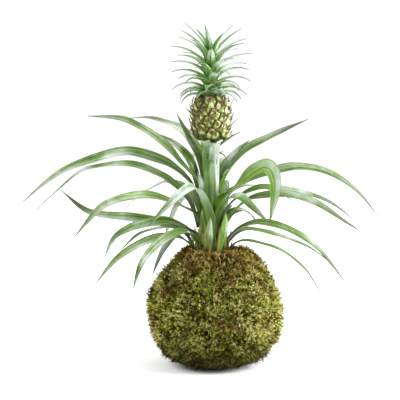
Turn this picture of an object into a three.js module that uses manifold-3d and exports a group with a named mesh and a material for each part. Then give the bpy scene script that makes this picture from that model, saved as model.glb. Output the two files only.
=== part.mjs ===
// Kokedama: a miniature pineapple plant rooted in a ball of soil that is wrapped in moss.
// Millimetres, +Z up, +Y away from the front. The origin is the centre of the flat spot
// that the ball rests on. Angles are in degrees.
import * as THREE from "three";
import { mergeVertices } from "three/addons/utils/BufferGeometryUtils.js";
import Module from "manifold-3d";

const wasm = await Module();
wasm.setup();

// Driving dimensions
const gap = 0.4; // between pieces that touch
const ballRadius = 79.5;
const ballCentreUp = 70;
const flatSpotRadius = 27;
const mossThickness = 8;
const soilClearance = 0.9; // moss lies loosely on the soil
const collarRadius = 34;
const collarTop = 141;
const openingRadius = 27;
const soilTop = 132;
const plantX = -5; // the plant stands a little to the left of the ball's middle
const stemBottom = 92;
const leafZoneBottom = 134;
const leafZoneTop = 228;
const stemRadiusLow = 16;
const stemRadiusHigh = 8;
const stalkRadius = 6;
const fruitBottom = 275;
const fruitHeight = 50;
const fruitNeck = 4;
const fruitCoreRadius = 19.5;
const goldenAngle = 137.5;
const firstLeafAzimuth = 205;

const rad = THREE.MathUtils.degToRad;
const lerp = THREE.MathUtils.lerp;
const smooth = THREE.MathUtils.smoothstep;
const up = new THREE.Vector3(0, 0, 1);

const finish = (color, roughness) =>
  new THREE.MeshStandardMaterial({ color, roughness, metalness: 0 });
const materials = {
  moss: finish(0x6b6a2c, 0.95),
  soil: finish(0x2e2117, 1.0),
  thread: finish(0x5a5f38, 0.5),
  stem: finish(0x8a8f5a, 0.7),
  stalk: finish(0x5f7f3c, 0.6),
  leaf: finish(0x6f9a5c, 0.45),
  fruit: finish(0xa39a58, 0.6),
  crown: finish(0x5f8a5c, 0.45),
};

const plant = new THREE.Group();

// The solid of a closed geometry, for joining and cutting.
function solidOf(geometry) {
  const bare = geometry.clone();
  bare.deleteAttribute("normal");
  bare.deleteAttribute("uv");
  const merged = mergeVertices(bare, 1e-4);
  return new wasm.Manifold(
    new wasm.Mesh({
      numProp: 3,
      vertProperties: new Float32Array(merged.attributes.position.array),
      triVerts: new Uint32Array(merged.index.array),
    }),
  );
}

function geometryOf(solid) {
  const { numProp, vertProperties, triVerts } = solid.getMesh();
  const count = vertProperties.length / numProp;
  const position = new Float32Array(count * 3);
  for (let i = 0; i < count; i++)
    position.set(vertProperties.subarray(i * numProp, i * numProp + 3), i * 3);
  return new THREE.BufferGeometry()
    .setAttribute("position", new THREE.BufferAttribute(position, 3))
    .setIndex(new THREE.BufferAttribute(new Uint32Array(triVerts), 1));
}

function add(name, geometry, material) {
  const shape = geometry.clone();
  shape.computeVertexNormals();
  const mesh = new THREE.Mesh(shape, material);
  mesh.name = name;
  plant.add(mesh);
}

// Moves every vertex of a geometry by a function of its place.
function bend(geometry, place) {
  const position = geometry.attributes.position;
  const point = new THREE.Vector3();
  for (let i = 0; i < position.count; i++) {
    point.fromBufferAttribute(position, i);
    place(point);
    position.setXYZ(i, point.x, point.y, point.z);
  }
  return geometry;
}

// A solid of revolution about +Z from a profile of [radius, height] pairs that runs from
// the bottom of the axis, round the outside, to the top of the axis.
function turned(profile, sides) {
  const points = profile.map(([r, z]) => new THREE.Vector2(r, z));
  return new THREE.LatheGeometry(points, sides).rotateX(Math.PI / 2);
}

// Moss ball

// The hand-pressed ball isn't round: soft swellings, and a wider right shoulder.
function pressed(point) {
  const around = Math.atan2(point.y, point.x);
  const side = smooth(point.z, 6, 40) * (1 - smooth(point.z, 118, 140));
  const swelling =
    0.018 * Math.sin(3 * around + 1.1) * Math.sin(point.z / 24) +
    0.014 * Math.sin(5 * around - 0.7 + point.z / 16);
  const shoulder = 0.07 * Math.cos(around) * smooth(point.z, 96, 138);
  const scale = 1 + side * swelling + shoulder;
  point.x *= scale;
  point.y *= scale;
}

// The moss sheet's torn edge stands a little higher at the two sides.
const collarWave = (around) => 2 * Math.cos(2 * around) + 1.2 * Math.sin(5 * around + 0.6);

// The outer profile from the flat spot to the collar, as a smooth curve.
const ballOutline = new THREE.SplineCurve(
  [
    [flatSpotRadius, 0],
    [50.5, 9],
    [67, 24],
    [76.5, 44],
    [ballRadius, 70],
    [76.5, 88],
    [68, 106],
    [56, 123],
    [41.5, 137],
  ].map(([r, z]) => new THREE.Vector2(r, z)),
);

// The outline moved inwards by a distance, up to a share of its length.
function outlineInside(distance, steps, upTo = 1) {
  const points = [];
  for (let i = 0; i <= steps; i++) {
    const share = (upTo * i) / steps;
    const point = ballOutline.getPoint(share);
    const tangent = ballOutline.getTangent(share);
    points.push([point.x - tangent.y * distance, point.y + tangent.x * distance]);
  }
  return points;
}

const ballSides = 36;
const tuftHeight = 3.2; // from the hollows between the moss tufts to their tops
const innerSteps = 8;
const innerShare = 0.95;

// The opening sits round the plant, off the middle of the ball.
function centreOnPlant(point) {
  const inOpening = Math.hypot(point.x, point.y) < collarRadius - 1 && point.z > soilTop - 3;
  if (inOpening) point.x += plantX;
}

function mossCover() {
  const outside = outlineInside(0, 15);
  const inside = outlineInside(mossThickness, innerSteps, innerShare).reverse();
  const profile = [
    [0, 0],
    [flatSpotRadius / 2, 0],
    ...outside,
    [collarRadius + 2.5, collarTop - 0.5],
    [collarRadius - 2, collarTop],
    [openingRadius + 1, collarTop - 5],
    [openingRadius, soilTop - 2],
    ...inside,
    [0, mossThickness],
  ];
  return bend(turned(profile, ballSides), (point) => {
    const r = Math.hypot(point.x, point.y);
    const around = Math.atan2(point.y, point.x);
    const nearRim = smooth(point.z, collarTop - 7, collarTop - 1) * smooth(r, 20, 30);
    point.z += collarWave(around) * nearRim;
    if (r > openingRadius + 2 && point.z > 3 && isOutside(r, point.z)) {
      const tuft = Math.sin(11 * around + point.z / 3) * Math.sin(7 * around - point.z / 4);
      const hollow = 1 - (tuftHeight * (1 - tuft)) / 2 / r;
      point.x *= hollow;
      point.y *= hollow;
    }
    centreOnPlant(point);
    pressed(point);
  });
}

// Whether a place in the ball's profile belongs to the outer face of the moss.
function isOutside(r, z) {
  const reach = Math.hypot(r, z - ballCentreUp);
  return reach > reachAt(Math.atan2(z - ballCentreUp, r)) - mossThickness / 2;
}

function soilBall() {
  const distance = mossThickness + soilClearance;
  const side = outlineInside(distance, innerSteps, innerShare);
  const profile = [
    [0, distance],
    ...side,
    [openingRadius - 2 * soilClearance, soilTop - 2],
    [stemRadiusLow + 4, soilTop],
    [0, soilTop],
  ];
  const shape = bend(turned(profile, ballSides), (point) => {
    centreOnPlant(point);
    pressed(point);
  });
  const ball = solidOf(shape);
  return geometryOf(ball.subtract(rootedStem(gap)));
}

// Nylon thread wound round the moss to hold it on, a closed loop for each turn.
const threadRadius = 0.5;
const threadClearance = 0.8; // the thread lies over the tops of the tufts
const threadTurns = [
  { tilt: 12, towards: 40 },
  { tilt: 47, towards: 15 },
  { tilt: 47, towards: 135 },
  { tilt: 47, towards: 255 },
];

// Distance from the ball's centre to its outline, by the angle above the horizon.
function reachAt(elevation) {
  const steps = 160;
  let before = null;
  for (let i = 0; i <= steps; i++) {
    const point = ballOutline.getPoint(i / steps);
    const dz = point.y - ballCentreUp;
    const here = { angle: Math.atan2(dz, point.x), reach: Math.hypot(point.x, dz) };
    if (before && here.angle >= elevation) {
      const share = (elevation - before.angle) / (here.angle - before.angle);
      return lerp(before.reach, here.reach, share);
    }
    before = here;
  }
  return before.reach;
}

function bindingThread() {
  const sides = 3;
  const steps = 30;
  const ring = new THREE.TorusGeometry(1, 0.5, sides, steps);
  const turns = threadTurns.map(({ tilt, towards }) => {
    const turnPlane = new THREE.Matrix4()
      .makeRotationZ(rad(towards))
      .multiply(new THREE.Matrix4().makeRotationX(rad(tilt)));
    const loop = bend(ring.clone(), (point) => {
      const angle = Math.atan2(point.y, point.x);
      const proud = (Math.hypot(point.x, point.y) - 1) * 2 * threadRadius;
      const sideways = point.z * 2 * threadRadius;
      const outwards = new THREE.Vector3(Math.cos(angle), Math.sin(angle), 0);
      outwards.transformDirection(turnPlane);
      const across = up.clone().transformDirection(turnPlane);
      const reach = reachAt(Math.asin(outwards.z)) + threadRadius + threadClearance;
      point.copy(outwards).multiplyScalar(reach + proud);
      point.addScaledVector(across, sideways);
      point.z += ballCentreUp;
      pressed(point);
    });
    return solidOf(loop);
  });
  return geometryOf(wasm.Manifold.union(turns));
}

// Stem, roots and fruit stalk

function stemRadiusAt(z) {
  const share = (z - leafZoneBottom) / (leafZoneTop - leafZoneBottom);
  return lerp(stemRadiusLow, stemRadiusHigh, share ** 1.4);
}

// A tapered, curved spike with a flat face above and a keel below: a three-sided cone bent
// along a list of stations. A station has a place, the side and face directions, the half
// width and half thickness there, and for a leaf the slope of its two raised edges.
function spike(stations) {
  const segments = stations.length - 1;
  const cone = new THREE.ConeGeometry(1, 1, 3, segments, false, Math.PI);
  return bend(cone, (point) => {
    const s = point.y + 0.5;
    const here = stations[Math.round(s * segments)];
    const share = s > 0.999 ? 0 : 1 / (1 - s);
    const across = -point.x * share * here.halfWidth;
    const through = point.z * share * here.halfThickness;
    point.copy(here.place);
    point.addScaledVector(here.side, across);
    point.addScaledVector(here.face, through);
    if (here.edgeSlope) point.addScaledVector(here.face, Math.abs(across) * here.edgeSlope);
  });
}

const rootCount = 7;
const rootLength = 62;

function root(index, extra) {
  const azimuth = rad(index * goldenAngle + 20);
  const outwards = new THREE.Vector3(Math.cos(azimuth), Math.sin(azimuth), 0);
  const side = new THREE.Vector3(-Math.sin(azimuth), Math.cos(azimuth), 0);
  const startUp = stemBottom + 8 + 3 * (index % 3);
  const stations = [];
  for (let i = 0; i <= 3; i++) {
    const s = i / 3;
    const out = 4 + rootLength * s * (0.9 - 0.25 * s);
    const place = outwards.clone().multiplyScalar(out);
    place.x += plantX;
    place.z = startUp - rootLength * s * s * 0.75;
    const down = Math.atan2(rootLength * s * 1.5, rootLength * (0.9 - 0.5 * s));
    const face = up.clone().multiplyScalar(Math.cos(down));
    face.addScaledVector(outwards, Math.sin(down));
    const half = lerp(2.6, 0.8, s) + extra;
    stations.push({ place, side, face, halfWidth: half, halfThickness: half });
  }
  return solidOf(spike(stations));
}

// The stem with its roots, or with some extra all round, the hollow that it stands in.
function rootedStem(extra = 0) {
  const profile = [
    [0, stemBottom - extra],
    [5 + extra, stemBottom - extra],
    [10 + extra, stemBottom + 12],
    [stemRadiusLow + extra, leafZoneBottom - 6],
  ];
  if (extra) profile.push([stemRadiusLow + extra, soilTop + 5], [0, soilTop + 5]);
  else {
    const steps = 4;
    for (let i = 0; i <= steps; i++) {
      const z = lerp(leafZoneBottom, leafZoneTop, i / steps);
      profile.push([stemRadiusAt(z), z]);
    }
    profile.push([0, leafZoneTop]);
  }
  const body = turned(profile, 16).translate(plantX, 0, 0);
  const parts = [solidOf(body)];
  for (let i = 0; i < rootCount; i++) parts.push(root(i, extra));
  return wasm.Manifold.union(parts);
}

// The stalk carries the fruit, and a few narrow bract leaves spring from it.
const stalkBracts = [
  { azimuth: 318, from: 259, length: 50, rise: 40, fall: 22, width: 6 },
  { azimuth: 335, from: 258, length: 24, rise: 20, fall: -85, width: 3.4 },
  { azimuth: 205, from: 252, length: 20, rise: 55, fall: 20, width: 5 },
  { azimuth: 95, from: 256, length: 30, rise: 45, fall: 5, width: 5 },
  { azimuth: 40, from: 246, length: 22, rise: 55, fall: 30, width: 5 },
];

function fruitStalk() {
  const bottom = leafZoneTop + gap;
  const top = fruitBottom - fruitNeck - gap;
  const body = turned(
    [
      [0, bottom],
      [stalkRadius, bottom],
      [stalkRadius, top - 8],
      [stalkRadius + 1, top],
      [0, top],
    ],
    12,
  ).translate(plantX, 0, 0);
  const bracts = stalkBracts.map(({ azimuth, from, length, rise, fall, width }) =>
    arched({
      azimuth,
      out: stalkRadius - 2,
      from,
      length,
      rise,
      fall,
      width,
      thickness: 1.3,
      segments: 5,
    }),
  );
  return geometryOf(wasm.Manifold.union([solidOf(body), ...bracts]));
}

// A narrow pointed leaf that starts at a rise and turns evenly to a fall along its length.
function arched({ azimuth, out, from, length, rise, fall, width, thickness, segments }) {
  const heading = rad(azimuth);
  const outwards = new THREE.Vector3(Math.cos(heading), Math.sin(heading), 0);
  const side = new THREE.Vector3(-Math.sin(heading), Math.cos(heading), 0);
  const stations = [];
  let r = out;
  let z = from;
  for (let i = 0; i <= segments; i++) {
    const s = i / segments;
    const tilt = rad(lerp(rise, fall, s));
    const place = outwards.clone().multiplyScalar(r);
    place.x += plantX;
    place.z = z;
    const face = up.clone().multiplyScalar(Math.cos(tilt));
    face.addScaledVector(outwards, -Math.sin(tilt));
    const taper = Math.max(1 - s ** 1.5, 0.04);
    const halfWidth = (width / 2) * taper;
    const halfThickness = (thickness / 2) * lerp(1, 0.6, s);
    stations.push({ place, side, face, halfWidth, halfThickness, edgeSlope: 0.35 });
    const next = rad(lerp(rise, fall, s + 0.5 / segments));
    r += (Math.cos(next) * length) / segments;
    z += (Math.sin(next) * length) / segments;
  }
  return solidOf(spike(stations));
}

// A flat box along X, its two broad faces split into triangles alike so that it bends well.
function strip(segments) {
  const box = new THREE.BoxGeometry(1, 1, 1, segments, 2, 1);
  const { start, count } = box.groups[5];
  for (let i = start; i < start + count; i += 6) {
    const [a, b, d, , c] = box.index.array.slice(i, i + 6);
    box.index.array.set([a, b, c, a, c, d], i);
  }
  return box;
}

// Rosette leaves, in the order they grow up the stem, each a golden angle on from the last.
// A leaf turns by its own angle on its way out. Its path gives [distance from the stem's
// axis, height] pairs from just above its foot to its tip. Twist rolls the blade.
const leaves = [
  {
    turn: 0,
    width: 14,
    twist: -35,
    path: [[25, 147], [38, 157], [56, 160], [86, 155], [121, 137], [149, 108]],
  },
  {
    turn: 10,
    width: 11,
    twist: 5,
    path: [[24, 144], [33, 152], [45, 154], [62, 151], [81, 145], [97, 136], [118, 116], [135, 87]],
  },
  { turn: 35, width: 12, twist: 25, path: [[24, 146], [40, 157], [58, 156], [72, 136], [80, 104]] },
  { turn: 12, width: 12, twist: 0, path: [[21, 150], [25.4, 162], [27.7, 174], [28.8, 184]] },
  {
    turn: -10,
    width: 13,
    twist: 25,
    path: [[25, 150], [40, 161], [59, 163], [100, 153], [143, 135], [172, 112]],
  },
  {
    turn: -4,
    width: 16,
    twist: -40,
    path: [[24, 150], [30, 159], [42, 167], [63, 174], [100, 179], [138, 182], [160, 189], [188, 211]],
  },
  { turn: 0, width: 14, twist: 0, path: [[21, 154], [25, 166], [27, 178], [28, 189]] },
  { turn: 0, width: 15, twist: 10, path: [[24, 154], [42, 167], [78, 174], [118, 154], [150, 108]] },
  {
    turn: -4,
    width: 13,
    twist: -35,
    path: [[23, 153], [33, 163], [50, 167], [77, 159], [98, 145], [111, 129], [120, 103]],
  },
  {
    turn: 0,
    width: 16,
    twist: 30,
    path: [[24, 158], [38, 169], [61, 174], [95, 165], [130, 142], [165, 99]],
  },
  {
    turn: 15,
    width: 14,
    twist: 10,
    path: [[23, 158], [34, 163], [55, 166], [82, 162], [103, 154], [124, 134]],
  },
  {
    turn: -58,
    width: 15,
    twist: -30,
    path: [[21, 168], [26, 184], [33, 201], [42, 216], [54, 221], [68, 214], [82, 198], [96, 175]],
  },
  {
    turn: 20,
    width: 13,
    twist: 0,
    path: [[23, 164], [32, 177], [46, 188], [66, 190], [88, 178]],
  },
  {
    turn: -2,
    width: 16,
    twist: -40,
    path: [[22, 164], [34, 171], [56, 177], [86, 173], [104, 167], [118, 157], [129, 135]],
  },
  {
    turn: 12,
    width: 14,
    twist: 35,
    path: [[20, 172], [27, 186], [45, 201], [62, 208], [97, 211], [132, 202], [168, 179], [186, 168]],
  },
  {
    turn: 5,
    width: 15,
    twist: -10,
    path: [[22, 170], [30, 182], [44, 194], [82, 203], [126, 180], [160, 134]],
  },
  { turn: 8, width: 12, twist: 0, path: [[20, 178], [22, 192], [23, 204]] },
  { turn: 14, width: 14, twist: 20, path: [[21, 174], [28, 184], [42, 188], [58, 182], [72, 168]] },
  {
    turn: 5,
    width: 15,
    twist: -25,
    path: [
      [20, 182], [26, 197], [35, 209], [49, 221], [65, 231],
      [103, 243], [149, 239], [175, 228], [225, 185],
    ],
  },
  {
    turn: 12,
    width: 14,
    twist: 30,
    path: [[20, 186], [29, 199], [44, 208], [62, 209], [81, 198], [105, 181]],
  },
  {
    turn: 8,
    width: 15,
    twist: 8,
    path: [[21, 182], [28, 196], [43, 210], [76, 221], [120, 203], [154, 158]],
  },
  {
    turn: -4,
    width: 15,
    twist: -40,
    path: [
      [19.5, 185], [31, 192], [52, 201], [81, 210],
      [107, 210], [132, 205], [151, 195], [180, 164],
    ],
  },
  {
    turn: 22,
    width: 13,
    twist: 30,
    path: [[18, 190], [25, 199], [37, 208], [50, 214], [66, 217], [108, 211], [147, 197], [184, 171]],
  },
  {
    turn: 20,
    width: 13,
    twist: -20,
    path: [[19, 190], [27, 200], [38, 208], [56, 218], [76, 220], [96, 211], [112, 202], [131, 182]],
  },
  {
    turn: 3,
    width: 15,
    twist: 0,
    path: [[19.5, 200], [21.5, 220], [26, 238], [35, 249], [50, 252], [64, 244]],
  },
  {
    turn: -12,
    width: 10,
    twist: 15,
    path: [[18, 194], [23, 202], [36, 213], [58, 217], [84, 212], [106, 204], [124, 193]],
  },
  {
    turn: 6,
    width: 18,
    twist: -40,
    path: [
      [16, 203], [20, 214], [27, 226], [43, 240], [61, 250],
      [97, 260], [132, 254], [180, 236], [225, 201],
    ],
  },
  {
    turn: -6,
    width: 22,
    twist: 60,
    path: [
      [16, 199], [22, 208], [37, 218], [55, 230], [72, 240],
      [89, 246], [101, 242], [108, 228], [107, 208], [101, 180],
    ],
  },
  {
    turn: 8,
    width: 15,
    twist: 0,
    path: [[19, 204], [28, 222], [45, 242], [78, 254], [106, 249], [122, 238]],
  },
  { turn: 0, width: 11, twist: 0, path: [[16, 208], [18.5, 220], [22, 230], [27, 236]] },
  {
    turn: -8,
    width: 16,
    twist: 35,
    path: [
      [16, 203], [22, 209], [33, 217], [47, 225], [77, 236],
      [107, 241], [143, 234], [177, 212], [203, 181],
    ],
  },
  {
    turn: 10,
    width: 13,
    twist: -25,
    path: [[18.5, 218], [23, 235], [30, 251], [43, 264], [61, 274], [94, 287]],
  },
  {
    turn: -10,
    width: 14,
    twist: 0,
    path: [[15.5, 222], [18, 240], [22, 256], [31, 268], [45, 271], [59, 263], [70, 248]],
  },
  {
    turn: 8,
    width: 14,
    twist: 0,
    path: [[17, 218], [23, 231], [34, 244], [50, 250], [66, 246]],
  },
  {
    turn: -8,
    width: 17,
    twist: -40,
    path: [
      [15, 222], [21, 231], [30, 240], [40, 250], [53, 265],
      [68, 278], [87, 290], [110, 300], [148, 303],
    ],
  },
  {
    turn: 10,
    width: 16,
    twist: 40,
    path: [[14.5, 222], [22, 237], [35, 254], [48, 266], [66, 275], [84, 284], [117, 299]],
  },
  {
    turn: 22,
    width: 13,
    twist: -25,
    path: [[15, 236], [26, 255], [46, 276], [65, 288], [87, 294], [113, 299], [140, 298]],
  },
  {
    turn: 8,
    width: 13,
    twist: 0,
    path: [[14, 236], [17, 254], [23, 268], [35, 274], [48, 269], [60, 255]],
  },
  { turn: 0, width: 15, twist: 25, path: [[14, 233], [21, 243], [31, 253], [42, 263], [54, 272]] },
  { turn: -5, width: 11, twist: -35, path: [[13, 240], [15.5, 254], [24, 270], [34, 288], [43, 305]] },
];

// Height on the stem where a leaf is rooted: the lower leaves stand closer together.
function rootHeight(index) {
  const share = index / (leaves.length - 1);
  return lerp(leafZoneBottom, leafZoneTop, share ** 1.25) - 4 * share;
}

function leaf(index) {
  const { turn, width, twist, path } = leaves[index];
  const from = rootHeight(index);
  const rootOut = stemRadiusAt(from) + 2;
  const points = [[rootOut, from], ...path];
  const spine = new THREE.SplineCurve(points.map(([r, z]) => new THREE.Vector2(r, z)));
  const length = spine.getLength();
  const segments = Math.round(3 + length / 26);

  const azimuthAt = (s) => rad(firstLeafAzimuth + index * goldenAngle + turn * s);
  const centre = (along) => {
    const s = THREE.MathUtils.clamp(along, 0, 1);
    const { x: out, y: height } = spine.getPointAt(s);
    const azimuth = azimuthAt(s);
    return new THREE.Vector3(plantX + out * Math.cos(azimuth), out * Math.sin(azimuth), height);
  };
  return bend(strip(segments), (point) => {
    const s = point.x + 0.5;
    const across = point.y * 2;
    const forward = centre(s + 0.01).sub(centre(s - 0.01)).normalize();
    const side = new THREE.Vector3(-Math.sin(azimuthAt(s)), Math.cos(azimuthAt(s)), 0);
    side.addScaledVector(forward, -side.dot(forward)).normalize();
    side.applyAxisAngle(forward, rad(twist) * smooth(s, 0.04, 0.42));
    const face = forward.clone().cross(side);
    const narrowing = lerp(0.85, 1, smooth(s, 0, 0.3)) * (1 - s ** 2.6);
    const halfWidth = (width / 2) * Math.max(narrowing, 0.05);
    const clasp = halfWidth / (2 * rootOut);
    const cup = halfWidth * lerp(clasp, 0.3, smooth(s, 0, 0.25));
    const lift = (Math.abs(across) - 0.5) * cup;
    const thickness = lerp(1.3, 0.8, s) * lerp(1, 0.75, Math.abs(across));
    const through = point.z * thickness;
    point.copy(centre(s));
    point.addScaledVector(side, across * halfWidth);
    point.addScaledVector(face, lift + through);
  });
}

// Fruit: a barrel covered with fruitlets, each with its own pointed bract.
const fruitletCount = 40;
const bractLean = 42; // from upright along the fruit towards straight out

const fruitOutline = new THREE.SplineCurve(
  [
    [14.5, 0],
    [18.5, 5],
    [fruitCoreRadius, 16],
    [fruitCoreRadius, 30],
    [18, 42],
    [12, fruitHeight],
  ].map(([r, z]) => new THREE.Vector2(r, z)),
);

function fruit() {
  const outline = fruitOutline.getPoints(5).map((p) => [p.x, p.y]);
  const neck = [
    [0, -fruitNeck],
    [stalkRadius + 1, -fruitNeck],
  ];
  const core = turned([...neck, ...outline, [0, fruitHeight]], 10);
  const parts = [solidOf(core)];
  for (let k = 0; k < fruitletCount; k++) {
    const along = lerp(0.12, 0.91, (k + 0.5) / fruitletCount);
    const at = fruitOutline.getPointAt(along);
    const tangent = fruitOutline.getTangentAt(along);
    const tilt = Math.atan2(-tangent.x, tangent.y);
    const azimuth = rad(k * goldenAngle);
    const outward = new THREE.Matrix4()
      .makeTranslation(0, 0, at.y)
      .multiply(new THREE.Matrix4().makeRotationZ(azimuth))
      .multiply(new THREE.Matrix4().makeTranslation(at.x, 0, 0))
      .multiply(new THREE.Matrix4().makeRotationY(-tilt));
    const boss = new THREE.CylinderGeometry(4.4, 6.8, 6.2, 6)
      .rotateZ(-Math.PI / 2)
      .translate(1, 0, 0)
      .applyMatrix4(outward);
    parts.push(solidOf(boss));
    const bractLength = k % 3 === 1 ? 15 : 11;
    const bract = new THREE.ConeGeometry(1, 1, 3)
      .translate(0, 0.5, 0)
      .scale(3.8, bractLength, 1.1)
      .rotateX(Math.PI / 2)
      .rotateZ(Math.PI / 2)
      .rotateY(rad(bractLean))
      .translate(2.2, 0, -5)
      .applyMatrix4(outward);
    parts.push(solidOf(bract));
  }
  return geometryOf(wasm.Manifold.union(parts)).translate(plantX, 0, fruitBottom);
}

// Crown: a short core set with channelled leaves. Their shape changes from row to row
// up the core: the lower ones are short and arch over, the middle ones are long and spread,
// and the top ones stand up.
const crownLeafCount = 48;
const crownCoreHeight = 53;
const crownRows = [
  { height: 0.6, length: 32, rise: 30, fall: -62, width: 15 },
  { height: 7, length: 43, rise: 42, fall: -45, width: 15 },
  { height: 21, length: 50, rise: 52, fall: -14, width: 14.5 },
  { height: 35, length: 56, rise: 60, fall: 4, width: 14 },
  { height: 50, length: 49, rise: 63, fall: 40, width: 11 },
];

// The shape of a crown leaf between two rows, by its share of the way up.
function crownRowAt(share) {
  const along = share * (crownRows.length - 1);
  const below = Math.min(Math.floor(along), crownRows.length - 2);
  const between = (name) =>
    lerp(crownRows[below][name], crownRows[below + 1][name], along - below);
  return {
    from: between("height"),
    length: between("length"),
    rise: between("rise"),
    fall: between("fall"),
    width: between("width"),
  };
}

function crown() {
  const bottom = fruitBottom + fruitHeight + gap;
  const core = turned(
    [
      [0, 0],
      [11, 0],
      [11, 6],
      [8, 28],
      [2.5, crownCoreHeight],
      [0, crownCoreHeight],
    ],
    8,
  ).translate(plantX, 0, bottom);
  const parts = [solidOf(core)];
  for (let k = 0; k < crownLeafCount; k++) {
    const share = k / (crownLeafCount - 1);
    const { from, length, rise, fall, width } = crownRowAt(share);
    parts.push(
      arched({
        azimuth: k * goldenAngle + 190,
        out: lerp(8.5, 1, share),
        from: bottom + from,
        length,
        rise,
        fall,
        width,
        thickness: 1.6,
        segments: 4,
      }),
    );
  }
  return geometryOf(wasm.Manifold.union(parts));
}

add("moss_cover", mossCover(), materials.moss);
add("soil_ball", soilBall(), materials.soil);
add("binding_thread", bindingThread(), materials.thread);
add("rooted_stem", geometryOf(rootedStem()), materials.stem);
add("fruit_stalk", fruitStalk(), materials.stalk);
for (let i = 0; i < leaves.length; i++)
  add(`leaf_${String(i + 1).padStart(2, "0")}`, leaf(i), materials.leaf);
add("fruit", fruit(), materials.fruit);
add("crown", crown(), materials.crown);

export default plant;
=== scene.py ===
import bisect
import math
import random
from functools import partial
import bmesh
import bpy
from mathutils import Matrix, Vector, noise


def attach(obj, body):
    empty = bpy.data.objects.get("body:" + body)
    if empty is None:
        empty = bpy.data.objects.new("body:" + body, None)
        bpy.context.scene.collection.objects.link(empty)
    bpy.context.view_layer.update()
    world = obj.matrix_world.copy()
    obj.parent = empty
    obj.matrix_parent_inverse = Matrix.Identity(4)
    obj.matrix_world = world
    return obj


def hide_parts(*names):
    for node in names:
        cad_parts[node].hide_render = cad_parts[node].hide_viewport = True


# A miniature pineapple plant rooted in a ball of moss. Sizes are in millimetres until a
# piece is finished; the scene is in metres, +Z up, +Y away from the camera.
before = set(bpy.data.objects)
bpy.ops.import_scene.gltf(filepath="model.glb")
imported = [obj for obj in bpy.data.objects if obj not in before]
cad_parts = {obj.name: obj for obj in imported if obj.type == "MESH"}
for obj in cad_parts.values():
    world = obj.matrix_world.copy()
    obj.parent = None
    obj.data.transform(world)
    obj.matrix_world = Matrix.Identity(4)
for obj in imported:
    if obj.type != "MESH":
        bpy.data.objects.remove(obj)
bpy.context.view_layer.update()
scene = bpy.context.scene
mm = 0.001
goldenAngle = math.radians(137.5)
plantX = -5.0  # the plant stands a little to the left of the ball's middle
print("frame loaded")


# Camera and studio

cameraSetup = {
    "aim": (-18, 0, 201.5),
    "distance": 1700,
    "elevation": 4.5,
    "lens": 127.0,
    "sight": 20000,
}
studio = {
    "wall": "#ffffff",
    "wallStrength": 1.05,
    "key": {"place": (3200, -500, 1700), "width": 2400, "power": 290.0},
    "fill": {"place": (-1500, -500, 1300), "width": 1400, "power": 36.0},
    "lightsAim": (0, 0, 180),
    "floorReach": 4000,
}


def linear(hexColour):
    # sRGB hex to the linear colour that a shader takes
    parts = [int(hexColour[i : i + 2], 16) / 255 for i in (1, 3, 5)]
    return tuple(c / 12.92 if c <= 0.04045 else ((c + 0.055) / 1.055) ** 2.4 for c in parts)


def lookAt(obj, place, aim):
    obj.location = Vector(place) * mm
    obj.rotation_euler = (Vector(aim) - Vector(place)).to_track_quat("-Z", "Y").to_euler()


def makeCamera():
    data = bpy.data.cameras.new("camera")
    data.lens = cameraSetup["lens"]
    data.clip_end = cameraSetup["sight"] * mm
    camera = bpy.data.objects.new("camera", data)
    scene.collection.objects.link(camera)
    tilt = math.radians(cameraSetup["elevation"])
    aim = Vector(cameraSetup["aim"])
    back = Vector((0, -math.cos(tilt), math.sin(tilt))) * cameraSetup["distance"]
    lookAt(camera, aim + back, aim)
    scene.camera = camera


def softLight(name, setup):
    data = bpy.data.lights.new(name, "AREA")
    data.shape = "DISK"
    data.size = setup["width"] * mm
    data.energy = setup["power"]
    light = bpy.data.objects.new(name, data)
    scene.collection.objects.link(light)
    lookAt(light, setup["place"], studio["lightsAim"])


def makeStudio():
    world = bpy.data.worlds.new("white studio")
    world.use_nodes = True
    background = world.node_tree.nodes["Background"]
    background.inputs["Color"].default_value = (*linear(studio["wall"]), 1)
    background.inputs["Strength"].default_value = studio["wallStrength"]
    scene.world = world
    softLight("key", studio["key"])
    softLight("fill", studio["fill"])
    scene.view_settings.view_transform = "Standard"


makeCamera()
makeStudio()
print("camera and lights made")


# Material tools

# settings that come back in many nodes: a smooth step, colours mixed or multiplied, and sums.
# A Mix node takes its share at socket 0 and its colours at 6 and 7, and gives the result at 2
fade = {"interpolation_type": "SMOOTHSTEP"}
mixed = {"data_type": "RGBA"}
tinted = {"data_type": "RGBA", "blend_type": "MULTIPLY", 0: 1.0}
times = {"operation": "MULTIPLY"}
timesPlus = {"operation": "MULTIPLY_ADD"}
minus = {"operation": "SUBTRACT"}


def addNode(tree, kind, settings=None):
    # one node and its outputs. A setting is a property, or a socket by its name or number with
    # a value, a hex colour or the output that is linked into it; stops colour a ramp
    node = tree.nodes.new("ShaderNode" + kind)
    for key, value in (settings or {}).items():
        if key == "stops":
            elements = node.color_ramp.elements
            while len(elements) < len(value):
                elements.new(0.5)
            for element, (place, colour) in zip(elements, value):
                element.position = place
                element.color = (*linear(colour), 1)
        elif isinstance(key, str) and key not in node.inputs:
            setattr(node, key, value)
        elif isinstance(value, bpy.types.NodeSocket):
            tree.links.new(value, node.inputs[key])
        elif isinstance(value, str):
            node.inputs[key].default_value = (*linear(value), 1)
        else:
            node.inputs[key].default_value = value
    return node.outputs


def newMaterial(name, roughness, specular=0.5, subsurface=0.0):
    # a material and the function that adds a node to it
    material = bpy.data.materials.new(name)
    material.use_nodes = True
    tree = material.node_tree
    shader = tree.nodes["Principled BSDF"]
    shader.inputs["Roughness"].default_value = roughness
    shader.inputs["Specular IOR Level"].default_value = specular
    shader.inputs["Subsurface Weight"].default_value = subsurface
    shader.inputs["Subsurface Scale"].default_value = 2 * mm
    return material, partial(addNode, tree)


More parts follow.
